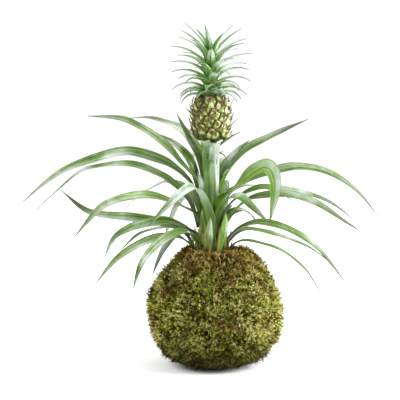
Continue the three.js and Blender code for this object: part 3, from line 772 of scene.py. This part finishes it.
def waxyLeaf(name, looks):
    # a pineapple leaf: smooth satin skin under a grey wax bloom, fine long ribs, a silvery
    # scurfy underside, a pale margin, a green foot and a dry tip
    material, add = newMaterial(name, 0.42, 0.34, subsurface=0.04)
    spot = add("TexCoord")["Object"]
    blade = add("UVMap", {"uv_map": "blade"})["UV"]
    blade = add("SeparateXYZ", {"Vector": blade})
    across, along = blade["X"], blade["Y"]
    skin = add("VertexColor", {"layer_name": "skin"})["Color"]
    skin = add("SeparateColor", {"Color": skin})
    underside, bloom, age = skin["Red"], skin["Green"], skin["Blue"]
    # ribs a little coarser than the real half millimetre, so that they show
    ribPlace = add("CombineXYZ", {
        "X": add("Math", times | {0: across, 1: looks["ribs"]})[0],
        "Y": add("Math", times | {0: along, 1: looks["ribLength"]})[0],
        "Z": add("Math", times | {0: bloom, 1: 37.0})[0],
    })[0]
    ribs = add("TexNoise", {"Vector": ribPlace, "Scale": 1.0, "Detail": 2.0})["Fac"]
    clouds = add("TexNoise", {"Vector": spot, "Scale": 34.0, "Detail": 3.0})["Fac"]
    # how pale the bloom makes the skin, with painted light and shade: one half of the blade is
    # paler and the other darker, as light falls on the two sides of its fold
    half = add("MapRange", fade | {"Value": across, "From Min": 0.35, "From Max": 0.6})[0]
    shade = -1.14
    for pattern, weight in ((ribs, 1.1), (clouds, 1.6), (bloom, 0.5), (half, 0.24)):
        shade = add("Math", timesPlus | {0: pattern, 1: weight, 2: shade})[0]
    upper = add("ValToRGB", {"Fac": shade, "stops": looks["upper"]})["Color"]
    under = add("ValToRGB", {"Fac": shade, "stops": looks["under"]})["Color"]
    colour = add("Mix", mixed | {0: underside, 6: upper, 7: under})[2]
    fromMiddle = add("Math", minus | {0: across, 1: 0.5})[0]
    fromMiddle = add("Math", {"operation": "ABSOLUTE", 0: fromMiddle})[0]
    margin = {"Value": fromMiddle, "From Min": 0.42, "From Max": 0.5, "To Max": 0.55}
    margin = add("MapRange", fade | margin)[0]
    colour = add("Mix", mixed | {0: margin, 6: colour, 7: looks["margin"]})[2]
    # the foot has no bloom, except on the most silvery leaves
    footEnd = looks["footEnd"]
    low = {"Value": along, "From Min": footEnd, "From Max": footEnd * 0.5, "To Max": 0.9}
    bare = {"Value": bloom, "From Min": 1.05, "From Max": 0.85}
    low, bare = add("MapRange", fade | low)[0], add("MapRange", fade | bare)[0]
    foot = add("Math", times | {0: low, 1: bare})[0]
    footSkin = add("ValToRGB", {"Fac": ribs, "stops": looks["foot"]})["Color"]
    colour = add("Mix", mixed | {0: foot, 6: colour, 7: footSkin})[2]
    if "heartShade" in looks:
        # painted shade: in the middle of the rosette, close to the stem and low down, the skin is
        # darkened as shade falls there, except on young shoots
        flattened = add("VectorMath", timesPlus | {0: spot, 1: (1, 1, 0), 2: (-plantX * mm, 0, 0)})[0]
        fromAxis = add("VectorMath", {"operation": "LENGTH", 0: flattened})["Value"]
        height = add("SeparateXYZ", {"Vector": spot})["Z"]
        heartShade = 1.0
        limits = ((fromAxis, 42 * mm, 26 * mm), (height, 225 * mm, 195 * mm), (age, 0.1, 0.5))
        for value, outside, inside in limits:
            step = {"Value": value, "From Min": outside, "From Max": inside}
            step = add("MapRange", fade | step)[0]
            heartShade = add("Math", times | {0: heartShade, 1: step})[0]
        deep = add("Mix", tinted | {6: colour, 7: looks["heartShade"]})[2]
        colour = add("Mix", mixed | {0: heartShade, 6: colour, 7: deep})[2]
    # young shoots are lime, more so on the half of the blade that is painted darker
    lime = add("ValToRGB", {"Fac": ribs, "stops": [(0.3, "#42680c"), (0.7, "#729430")]})["Color"]
    young = add("Math", timesPlus | {0: age, 1: -2.0, 2: 1.0})[0]
    onHalf = add("Math", timesPlus | {0: half, 1: -0.7, 2: 1.2})[0]
    young = add("Math", times | {0: young, 1: onHalf})[0]
    colour = add("Mix", mixed | {0: young, 6: colour, 7: lime})[2]
    # old leaves fade long before their tip
    old = add("Math", minus | {0: age, 1: 0.1})[0]
    tipStart = looks["tipStart"]
    outer = add("MapRange", fade | {"Value": along, "From Min": tipStart - 0.4, "From Max": 0.92})[0]
    fading = add("Math", times | {0: outer, 1: old})[0]
    colour = add("Mix", mixed | {0: fading, 6: colour, 7: looks["fading"]})[2]
    tip = add("MapRange", fade | {"Value": along, "From Min": tipStart, "From Max": 1.0})[0]
    colour = add("Mix", mixed | {0: tip, 6: colour, 7: looks["tip"]})[2]
    rough = add("MapRange", {"Value": clouds, "To Min": 0.34, "To Max": 0.52})[0]
    return linkSurface(material, colour, ribs, 0.25, rough)


rosetteSkin = waxyLeaf("waxy strap leaf", {
    "ribs": 13.0,
    "ribLength": 2.2,
    "upper": [(0.2, "#2e4c0c"), (0.36, "#4e6e26"), (0.5, "#708656"), (0.66, "#8e9c88"), (0.9, "#b4bcb6")],
    "under": [(0.2, "#466a2c"), (0.42, "#728c62"), (0.62, "#9eae9c"), (0.85, "#c0cac4")],
    "margin": "#738c5a",
    "footEnd": 0.6,
    "foot": [(0.3, "#2e4a0a"), (0.5, "#4a6a1a"), (0.7, "#7c9650")],
    # painted shade: the tint that darkens the skin in the middle of the rosette
    "heartShade": "#aeba66",
    "fading": "#3a4a22",
    "tipStart": 0.9,
    "tip": "#504c3a",
})


def rosette():
    strip = flatStrip(leafBlades["lengthCuts"], leafBlades["widthCuts"])
    for index in range(len(leafRows)):
        bm = bmesh.new()
        age = leafBlades["age"].get(index, 0.5)
        bentStrip(bm, strip, leafPlacer(index), leafBlades["bloom"][index], age)
        number = f"{index + 1:02d}"
        finishPiece(bm, f"blade_{number}", rosetteSkin, "leaf", f"leaf_{number}")


rosette()
print("leaves:", len(leafRows))


# Small arched leaves: stalk bracts, crown and old sheaths


def archedPlacer(azimuth, out, start, length, rise, fall, width, thickness, segments, cup=0.42):
    # a narrow pointed leaf that turns evenly from its rise to its fall
    heading = math.radians(azimuth)
    outwards = Vector((math.cos(heading), math.sin(heading), 0))
    side = Vector((-math.sin(heading), math.cos(heading), 0))
    stations = []
    r, z = out, start
    for i in range(segments + 1):
        tilt = math.radians(lerp(rise, fall, i / segments))
        face = Vector((0, 0, math.cos(tilt))) - outwards * math.sin(tilt)
        stations.append((Vector((plantX, 0, z)) + outwards * r, face))
        step = math.radians(lerp(rise, fall, (i + 0.5) / segments))
        r += math.cos(step) * length / segments
        z += math.sin(step) * length / segments

    def place(along, across, through):
        middle, face = stations[round(along * segments)]
        halfWidth = 0.433 * width * max(1 - along**1.5, 0.04)
        lift = abs(across) ** 1.3 * halfWidth * cup
        thin = thickness * lerp(0.8, 0.4, along) * lerp(1, 0.45, across * across)
        return middle + side * (across * halfWidth) + face * (lift + through * thin)

    return place


stalk = {"radius": 6, "bottom": 228.4, "top": 270.6}
stalkBracts = [
    {"azimuth": 318, "start": 259, "length": 50, "rise": 40, "fall": 22, "width": 6},
    {"azimuth": 335, "start": 258, "length": 24, "rise": 20, "fall": -85, "width": 3.4},
    {"azimuth": 205, "start": 252, "length": 20, "rise": 55, "fall": 20, "width": 5},
    {"azimuth": 95, "start": 256, "length": 30, "rise": 45, "fall": 5, "width": 5},
    {"azimuth": 40, "start": 246, "length": 22, "rise": 55, "fall": 30, "width": 5},
]
crown = {
    "leaves": 48,
    "bottom": 325.4,
    "coreHeight": 53,
    "lengthCuts": 13,
    "widthCuts": 5,
    "coreRadius": (8.5, 1),
    "firstAzimuth": 190,
    "thickness": 1.4,
    "seed": 8,
    # height on the core, length, rise, fall and width, from the lowest row to the top
    "rows": [
        (0.6, 32, 30, -62, 15),
        (7, 43, 42, -45, 15),
        (21, 50, 52, -14, 14.5),
        (35, 56, 60, 4, 14),
        (50, 49, 63, 40, 11),
    ],
}


def plantSkin(name, stops, scale):
    # fleshy green skin with faint darker flecks that run along the plant
    material, add = newMaterial(name, 0.5, 0.4, subsurface=0.05)
    spot = add("TexCoord")["Object"]
    squash = add("Mapping", {"Vector": spot, "Scale": (1, 1, 0.2)})[0]
    flecks = add("TexNoise", {"Vector": squash, "Scale": scale, "Detail": 4.0})["Fac"]
    colour = add("ValToRGB", {"Fac": flecks, "stops": stops})["Color"]
    return linkSurface(material, colour, flecks, 0.4)


bractSkin = waxyLeaf("drying bract", {
    "ribs": 5.0,
    "ribLength": 2.0,
    "upper": [(0.2, "#4a6b2a"), (0.5, "#6a8a3c"), (0.8, "#8aa052")],
    "under": [(0.2, "#5f7f3a"), (0.8, "#9cae6c")],
    "margin": "#7c6a3c",
    "footEnd": 0.15,
    "foot": [(0.3, "#5c7c2c"), (0.7, "#8ca64c")],
    "fading": "#5c6430",
    "tipStart": 0.35,
    "tip": "#4a3420",
})


def makeStalk():
    radius, bottom, top = stalk["radius"], stalk["bottom"], stalk["top"]
    profile = [(0, bottom), (radius, bottom), (radius, top - 14)]
    profile += [(radius + 0.4, top - 8), (radius + 1, top), (0, top)]
    skin = plantSkin("fruit stalk skin", [(0.35, "#3f5c22"), (0.6, "#5d8030"), (0.8, "#7b9a48")], 300.0)
    finishPiece(turnedBody(profile, 32, plantX), "stalk", skin, "stalk", "fruit_stalk")
    strip = flatStrip(9, 3)
    bracts = bmesh.new()
    for row in stalkBracts:
        place = archedPlacer(out=radius - 2, thickness=1.3, segments=10, cup=0.9, **row)
        bentStrip(bracts, strip, place, 0.2)
    finishPiece(bracts, "stalk_bracts", bractSkin, "stalk", "fruit_stalk")


makeStalk()


def crownRowAt(share):
    # the shape of a crown leaf between two rows
    along = share * (len(crown["rows"]) - 1)
    below = min(int(along), len(crown["rows"]) - 2)
    pairs = zip(crown["rows"][below], crown["rows"][below + 1])
    return [lerp(a, b, along - below) for a, b in pairs]


def makeCrown():
    count, bottom, core = crown["leaves"], crown["bottom"], crown["coreHeight"]
    strip = flatStrip(crown["lengthCuts"], crown["widthCuts"])
    rng = random.Random(crown["seed"])
    bm = bmesh.new()
    for k in range(count):
        share = k / (count - 1)
        height, length, rise, fall, width = crownRowAt(share)
        place = archedPlacer(
            azimuth=math.degrees(k * goldenAngle) + crown["firstAzimuth"],
            out=lerp(*crown["coreRadius"], share),
            start=bottom + height,
            length=length,
            rise=rise,
            fall=fall,
            width=width,
            thickness=crown["thickness"],
            segments=crown["lengthCuts"] + 1,
        )
        # painted light: leaves that point to the right are more silvery, as the light falls from the
        # right, with a random tone for each leaf besides
        turned = k * goldenAngle + math.radians(crown["firstAzimuth"])
        silverAndSideLight = 0.5 + 0.4 * math.cos(turned) + rng.uniform(-0.3, 0.3)
        bentStrip(bm, strip, place, silverAndSideLight, 0.8)
    skin = waxyLeaf("waxy crown leaf", {
        "ribs": 7.0,
        "ribLength": 1.4,
        "upper": [(0.2, "#38581e"), (0.42, "#628448"), (0.62, "#96ac8e"), (0.82, "#c8d4ca")],
        "under": [(0.2, "#426a30"), (0.48, "#7a9868"), (0.72, "#b8c8b6")],
        "margin": "#88a07a",
        "footEnd": 0.45,
        "foot": [(0.3, "#3c6210"), (0.5, "#55802a"), (0.7, "#86a866")],
        "fading": "#5a6c5a",
        "tipStart": 0.8,
        "tip": "#4c544c",
    })
    finishPiece(bm, "crown_leaves", skin, "crown", "crown")
    profile = [(0, 0), (10.5, 0), (10.5, 6), (7.5, 28), (2.5, core), (0, core)]
    body = turnedBody([(r, z + bottom) for r, z in profile], 24, plantX)
    coreSkin = plantSkin("crown core skin", [(0.35, "#24300f"), (0.6, "#3b4c1b"), (0.8, "#566a2c")], 300.0)
    finishPiece(body, "crown_core", coreSkin, "crown", "crown")


makeCrown()
print("stalk and crown made")


# Fruit

fruit = {
    "count": 40,
    "bottom": 275,
    "height": 50,
    "outline": [(14.5, 0), (18.5, 5), (19.5, 16), (19.5, 30), (18, 42), (12, 50)],
    "zone": (0.12, 0.91),  # where the lowest and the highest eye sit on the outline
    "proud": 4.3,  # how far an eye stands out from the core
    "widest": 8.6,  # an eye's reach where no other eye is beside it
    "squareness": 9,  # a higher power makes the eyes more angular
    "whiskers": 3,  # dry flower remnants on each eye
    "seed": 21,
}


def fruitletSpot(k):
    # the frame of one fruitlet: X outwards, Z up along the fruit's side
    at, _ = evenCurve(fruit["outline"])
    share = lerp(*fruit["zone"], (k + 0.5) / fruit["count"])
    r, z = at(share)
    ahead = Vector(at(share + 0.005)) - Vector(at(share - 0.005))
    tilt = math.atan2(-ahead.x, ahead.y)
    lifted = Matrix.Translation((plantX, 0, fruit["bottom"] + z))
    turned = Matrix.Rotation(k * goldenAngle, 4, "Z") @ Matrix.Translation((r, 0, 0))
    return lifted @ turned @ Matrix.Rotation(-tilt, 4, "Y")


def eyeNeighbours(k, spots):
    # half the way from one eye to each of its neighbours: direction and distance
    back = spots[k].inverted()
    around = []
    for other in spots:
        x, y, z = (back @ other).translation
        if 1 < math.hypot(y, z) < 20 and abs(x) < 12:
            around.append((math.atan2(z, y), math.hypot(y, z) / 2))
    return around


def fruitletBody(bm, k, spots, rng):
    # an eye pressed into a polygon by its neighbours: a cushion with a sunken middle
    made = bmesh.ops.create_icosphere(bm, subdivisions=4, radius=1)["verts"]
    layer = bm.loops.layers.float_color["eye"]
    neighbours = eyeNeighbours(k, spots)
    power, widest = fruit["squareness"], fruit["widest"]
    # the eyes are paler on the right and darker on the left: partly painted light, as the light
    # falls from the right, and partly a browner left side
    litSide = (spots[k].translation.x - plantX) / 20
    tone = min(max(0.5 + 0.55 * litSide + rng.uniform(-0.25, 0.25), 0), 1)
    proud = fruit["proud"] * rng.uniform(0.85, 1.05)
    reach, crest = {}, {}
    for vert in made:
        x, y, z = vert.co
        crest[vert] = (z + 1) / 2
        fromMiddle = math.hypot(y, z)
        angle = math.atan2(z, y)
        pressing = sum(max(math.cos(angle - a), 0) ** power / d**power for a, d in neighbours)
        edge = 1.1 * min(pressing ** (-1 / power), widest) if pressing else widest
        if x > 0:
            x = (1 - fromMiddle**3.4) ** 0.55
        reach[vert] = fromMiddle if x > 0 else 1
        crumble = 0.5 * noise.noise(Vector((y * 4, z * 4, k * 3.1))) * smooth(z, -0.3, 0.2)
        out = (x * (0.85 + 0.15 * z) + crumble * (1 - fromMiddle)) * proud if x > 0 else x * 3 - 0.2
        vert.co = spots[k] @ Vector((out - 1.1 * fromMiddle**2, y * edge, z * edge))
    for vert in made:
        for loop in vert.link_loops:
            loop[layer] = (reach[vert], tone, crest[vert], 1)


def bractPlacer(spot, length):
    # a pointed bract that rises from the seam under an eye and hugs it
    path = [(1.5, -7.4), (4.6, -5.2), (6.2, -1.6), (7.6 * length, 3.2 * length)]

    def place(along, across, through):
        x, z = curvePoint(path, along)
        halfWidth = 4.4 * (1 - along**0.8) + 0.5 * length**1.5 * (1 - along**4) + 0.1
        hug = -2.2 * across * across * (1 - along)
        return spot @ Vector((x + hug + through * lerp(0.9, 0.4, along), across * halfWidth, z))

    return place


def rindMaterial():
    # pineapple eyes not yet ripe: cream to pale green with a brown blush, olive seams
    material, add = newMaterial("unripe pineapple rind", 0.55, 0.35, subsurface=0.06)
    spot = add("TexCoord")["Object"]
    eye = add("VertexColor", {"layer_name": "eye"})["Color"]
    eye = add("SeparateColor", {"Color": eye})
    reach, tone, crest = eye["Red"], eye["Green"], eye["Blue"]
    cloud = add("TexNoise", {"Vector": spot, "Scale": 260.0, "Detail": 4.0})["Fac"]
    # each eye has its own tone, from brown green to cream, made paler on the right by painted light
    shade = add("Math", timesPlus | {0: tone, 1: 0.3, 2: cloud})[0]
    flesh = add("ValToRGB", {"Fac": shade, "stops": [
        (0.46, "#2e3c06"), (0.58, "#667618"), (0.69, "#a8b260"), (0.87, "#dadcb2"),
    ]})["Color"]
    warm = add("ValToRGB", {"Fac": shade, "stops": [
        (0.48, "#2e1e04"), (0.64, "#745618"), (0.82, "#bc9c68"),
    ]})["Color"]
    blush = add("TexNoise", {"Vector": spot, "Scale": 90.0, "Detail": 2.0})["Fac"]
    blush = add("Math", timesPlus | {0: tone, 1: -0.2, 2: blush})[0]
    blush = add("MapRange", fade | {"Value": blush, "From Min": 0.42, "From Max": 0.58})[0]
    flesh = add("Mix", mixed | {0: blush, 6: flesh, 7: warm})[2]
    # the dried flower on the upper half of the eye: crumbly straw and rust
    dried = add("ValToRGB", {"Fac": shade, "stops": [
        (0.48, "#342608"), (0.62, "#746022"), (0.84, "#d8ce9e"),
    ]})["Color"]
    above = add("MapRange", fade | {"Value": crest, "From Min": 0.5, "From Max": 0.8})[0]
    flesh = add("Mix", mixed | {0: above, 6: flesh, 7: dried})[2]
    seam = add("MapRange", fade | {"Value": reach, "From Min": 0.7, "From Max": 0.97})[0]
    colour = add("Mix", mixed | {0: seam, 6: flesh, 7: "#3c4608"})[2]
    middle = {"Value": reach, "From Min": 0.22, "From Max": 0.02, "To Max": 0.35}
    colour = add("Mix", mixed | {0: add("MapRange", fade | middle)[0], 6: colour, 7: "#5c4a26"})[2]
    return linkSurface(material, colour, cloud, 0.5)


def fibrePlacer(points, width):
    # a thin strand along the points that thins towards its end
    def place(along, across, through):
        here = Vector(curvePoint(points, along))
        before, after = max(along - 0.02, 0), min(along + 0.02, 1)
        ahead = Vector(curvePoint(points, after)) - Vector(curvePoint(points, before))
        side = ahead.cross(Vector((0.3, 0.2, 1))).normalized()
        face = side.cross(ahead).normalized()
        half = width / 2 * (1 - 0.75 * along)
        return here + side * (across * half) + face * (through * 2 * half)

    return place


def whiskerPlacer(spot, rng):
    # a dry flower remnant: a curl that lies over the eye
    sideways, lift = rng.uniform(-4, 4), rng.uniform(-1, 5)
    points = [
        (rng.uniform(2.5, 4), sideways * 0.3, lift * 0.4),
        (rng.uniform(4, 5.5), sideways, lift + 1.5),
        (rng.uniform(3.5, 6.5), sideways + rng.uniform(-3, 3), lift + rng.uniform(2, 4)),
        (rng.uniform(3, 7), sideways + rng.uniform(-5, 5), lift + rng.uniform(0, 5)),
    ]
    return fibrePlacer([spot @ Vector(point) for point in points], rng.uniform(0.7, 1.2))


def makeFruit():
    rng = random.Random(fruit["seed"])
    eyes = bmesh.new()
    eyes.loops.layers.float_color.new("eye")
    spots = [fruitletSpot(k) for k in range(fruit["count"])]
    for k in range(fruit["count"]):
        fruitletBody(eyes, k, spots, rng)
    rind = rindMaterial()
    finishPiece(eyes, "fruit_eyes", rind, "fruit", "fruit")
    profile = [(0, -4), (7, -4)]
    profile += [tuple(curvePoint(fruit["outline"], i / 10)) for i in range(11)]
    profile.append((0, fruit["height"]))
    core = turnedBody([(r, z + fruit["bottom"]) for r, z in profile], 32, plantX)
    coreSkin = plantSkin("fruit seams", [(0.3, "#2c3410"), (0.6, "#434c1a"), (0.8, "#5c6226")], 260.0)
    finishPiece(core, "fruit_core", coreSkin, "fruit", "fruit")
    strip = flatStrip(7, 3)
    bracts = bmesh.new()
    for k in range(fruit["count"]):
        length = 1.75 if k % 3 == 1 else rng.uniform(0.9, 1.1)
        bentStrip(bracts, strip, bractPlacer(spots[k], length), rng.random())
    skin = waxyLeaf("dry fruit bract", {
        "ribs": 4.0,
        "ribLength": 2.0,
        "upper": [(0.25, "#586a24"), (0.5, "#86964c"), (0.75, "#b6bf88")],
        "under": [(0.25, "#586a24"), (0.5, "#86964c"), (0.75, "#b6bf88")],
        "margin": "#5a5424",
        "footEnd": 0.3,
        "foot": [(0.3, "#3c4a18"), (0.7, "#5a6a2c")],
        "fading": "#5a5424",
        "tipStart": 0.3,
        "tip": "#2c1a0e",
    })
    finishPiece(bracts, "fruit_bracts", skin, "fruit", "fruit")
    thin = flatStrip(5, 0)
    whiskers = bmesh.new()
    for spot in spots:
        for _ in range(fruit["whiskers"]):
            bentStrip(whiskers, thin, whiskerPlacer(spot, rng), rng.random())
    remnants = waxyLeaf("dry flower remnant", {
        "ribs": 3.0,
        "ribLength": 2.0,
        "upper": [(0.3, "#2e1c0c"), (0.6, "#5c4020"), (0.85, "#a08850")],
        "under": [(0.3, "#2e1c0c"), (0.6, "#5c4020"), (0.85, "#a08850")],
        "margin": "#4a3018",
        "footEnd": 0.2,
        "foot": [(0.3, "#4a4420"), (0.7, "#6a6430")],
        "fading": "#4a3418",
        "tipStart": 0.7,
        "tip": "#2a180c",
    })
    finishPiece(whiskers, "fruit_whiskers", remnants, "fruit", "fruit")


makeFruit()
print("fruit made")


# Thread, dry fibres and old sheaths

thread = {
    "radius": 0.22,
    "clearance": -0.9,  # it has sunk this far into the moss
    "corners": 6,
    "steps": 150,
    "turns": [(12, 40), (47, 15), (47, 135), (47, 255)],  # tilt of each turn and where to
}
fibres = {
    "count": 440,
    "width": (0.4, 1.0),
    "rim": [(41.5, 137), (33, 141), (26, 139), (19, 137)],
    "seed": 4,
}
oldSheaths = {
    "count": 90,
    "thickness": 0.6,
    "seed": 5,
    # what each measure of a shred is drawn from
    "ranges": {
        "azimuth": (0, 360),
        "out": (16, 23),
        "start": (132, 139),
        "length": (14, 44),
        "rise": (62, 88),
        "fall": (60, 118),
        "width": (1.6, 3.2),
    },
}


def reachAt(elevation):
    # distance from the ball's centre to its outline by the angle above the horizon
    before = None
    for i in range(161):
        r, z = curvePoint(mossBall["outline"], i / 160)
        angle, reach = math.atan2(z - mossBall["centreUp"], r), math.hypot(r, z - mossBall["centreUp"])
        if before and angle >= elevation:
            return lerp(before[1], reach, (elevation - before[0]) / (angle - before[0]))
        before = (angle, reach)
    return before[1]


def nylonThread():
    # olive monofilament nylon: smooth, satin, nearly the colour of the moss under it
    material, add = newMaterial("nylon monofilament", 0.3, 0.5)
    spot = add("TexCoord")["Object"]
    dust = add("TexNoise", {"Vector": spot, "Scale": 200.0})["Fac"]
    colour = add("ValToRGB", {"Fac": dust, "stops": [(0.3, "#4c5030"), (0.7, "#6f7346")]})["Color"]
    return linkSurface(material, colour)


def makeThread():
    bm = bmesh.new()
    for tilt, towards in thread["turns"]:
        plane = Matrix.Rotation(math.radians(towards), 3, "Z")
        plane = plane @ Matrix.Rotation(math.radians(tilt), 3, "X")
        upright = Matrix.Translation((1, 0, 0)) @ Matrix.Rotation(math.pi / 2, 4, "X")
        loop = bmesh.new()
        ring = bmesh.ops.create_circle(loop, segments=thread["corners"], radius=0.5, matrix=upright)
        fullTurn(loop, ring["verts"] + loop.edges[:], thread["steps"], gap=0.001)
        for vert in loop.verts:
            x, y, z = vert.co
            angle = math.atan2(y, x)
            outwards = plane @ Vector((math.cos(angle), math.sin(angle), 0))
            reach = reachAt(math.asin(outwards.z)) + thread["clearance"]
            reach += 0.5 * noise.noise(outwards * 9)
            reach += (math.hypot(x, y) - 1) * 2 * thread["radius"]
            at = outwards * reach + plane @ Vector((0, 0, 1)) * (z * 2 * thread["radius"])
            vert.co = pressed(at.x, at.y, at.z + mossBall["centreUp"])
        mesh = bpy.data.meshes.new("loop")
        loop.to_mesh(mesh)
        loop.free()
        bm.from_mesh(mesh)
    finishPiece(bm, "thread_turns", nylonThread(), "thread", "binding_thread")


def dryRootlets():
    # dry roots and grass in the moss: matt, straw to rust brown
    material, add = newMaterial("dry rootlets", 0.8, 0.2)
    spot = add("TexCoord")["Object"]
    skin = add("VertexColor", {"layer_name": "skin"})["Color"]
    tone = add("SeparateColor", {"Color": skin})["Green"]
    stains = add("TexNoise", {"Vector": spot, "Scale": 300.0})["Fac"]
    shade = add("Math", timesPlus | {0: stains, 1: 0.5, 2: tone})[0]
    shade = add("Math", minus | {0: shade, 1: 0.25})[0]
    return linkSurface(material, add("ValToRGB", {"Fac": shade, "stops": [
        (0.0, "#2c2012"), (0.35, "#4e3a1a"), (0.65, "#7c5a2a"), (0.88, "#9c8044"), (1.0, "#bca870"),
    ]})["Color"])


def makeFibres():
    rng = random.Random(fibres["seed"])
    strip = flatStrip(7, 0)
    profile = mossBall["outline"][2:-1] + fibres["rim"]
    bm = bmesh.new()
    for _ in range(fibres["count"]):
        around = rng.uniform(0, 2 * math.pi)
        share = rng.uniform(0.05, 0.97) ** 0.4
        points = []
        heading, reach = rng.uniform(0, 2 * math.pi), rng.uniform(3, 7)
        curl = rng.uniform(-1.1, 1.1)
        for i in range(4):
            at, normal = skinPoint(profile, min(max(share, 0.02), 0.98), around)
            proud = (-1.0, rng.uniform(0.2, 1.6), rng.uniform(0.5, 3), rng.uniform(-1, 3))[i]
            points.append(at + normal * proud)
            share += math.sin(heading) * reach / 95
            around += math.cos(heading) * reach / 45
            heading += curl
        bentStrip(bm, strip, fibrePlacer(points, rng.uniform(*fibres["width"])), rng.random())
    finishPiece(bm, "moss_fibres", dryRootlets(), "moss", "moss_cover", sharp=180)


def makeSheaths():
    # shreds of old leaf sheaths that stand between the leaf feet
    rng = random.Random(oldSheaths["seed"])
    strip = flatStrip(9, 1)
    bm = bmesh.new()
    for _ in range(oldSheaths["count"]):
        shape = {name: rng.uniform(*ends) for name, ends in oldSheaths["ranges"].items()}
        place = archedPlacer(thickness=oldSheaths["thickness"], segments=10, **shape)
        bentStrip(bm, strip, place, rng.random())
    skin = waxyLeaf("old leaf sheath", {
        "ribs": 3.0,
        "ribLength": 3.0,
        "upper": [(0.2, "#4a4a1a"), (0.45, "#66702a"), (0.7, "#7f8c3c"), (0.95, "#a39c5c")],
        "under": [(0.2, "#4a421e"), (0.8, "#84843c")],
        "margin": "#665a30",
        "footEnd": 0.35,
        "foot": [(0.3, "#3c2e18"), (0.7, "#5a4828")],
        "fading": "#66602a",
        "tipStart": 0.6,
        "tip": "#6a5632",
    })
    finishPiece(bm, "old_sheaths", skin, "leaf")


makeThread()
makeFibres()
makeSheaths()
print("thread, fibres and sheaths made")


# Solids that stay as they are, and the floor


def pottingSoil():
    # peat and bark crumbs, nearly black when moist
    material, add = newMaterial("moist potting soil", 0.95, 0.2)
    spot = add("TexCoord")["Object"]
    crumbs = add("TexVoronoi", {"Vector": spot, "Scale": 420.0})["Distance"]
    stops = [(0.0, "#4a3826"), (0.4, "#2b1f14"), (0.8, "#140e08")]
    colour = add("ValToRGB", {"Fac": crumbs, "stops": stops})["Color"]
    return linkSurface(material, colour, crumbs, 1.2)


def clothe(node, material):
    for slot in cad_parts[node].material_slots:
        slot.material = material


def whitePaper():
    # matt white studio paper with a faint grain, greyer near the plant so that its shadow shows,
    # and painted paler towards its far edges, so that it fades into the white backdrop
    material, add = newMaterial("white background paper", 0.9, 0.2)
    spot = add("TexCoord")["Object"]
    grain = add("TexNoise", {"Vector": spot, "Scale": 40.0})["Fac"]
    paper = add("ValToRGB", {"Fac": grain, "stops": [(0.3, "#e7e7e7"), (0.7, "#eaeaea")]})["Color"]
    # painted light: the paper turns paler with distance from the plant
    away = add("VectorMath", {"operation": "LENGTH", 0: spot})["Value"]
    away = add("MapRange", fade | {"Value": away, "From Min": 0.4, "From Max": 1.4})[0]
    return linkSurface(material, add("Mix", mixed | {0: away, 6: paper, 7: "#fcfcfc"})[2])


def makeFloor():
    bm = bmesh.new()
    bmesh.ops.create_grid(bm, x_segments=4, y_segments=4, size=studio["floorReach"] * mm)
    mesh = bpy.data.meshes.new("floor")
    bm.to_mesh(mesh)
    bm.free()
    mesh.materials.append(whitePaper())
    floor = bpy.data.objects.new("floor", mesh)
    scene.collection.objects.link(floor)


clothe("soil_ball", pottingSoil())
clothe("rooted_stem", plantSkin("stem skin", [(0.3, "#6d6f3a"), (0.6, "#8f9550"), (0.8, "#b3b67c")], 200.0))
makeFloor()

print("finished")
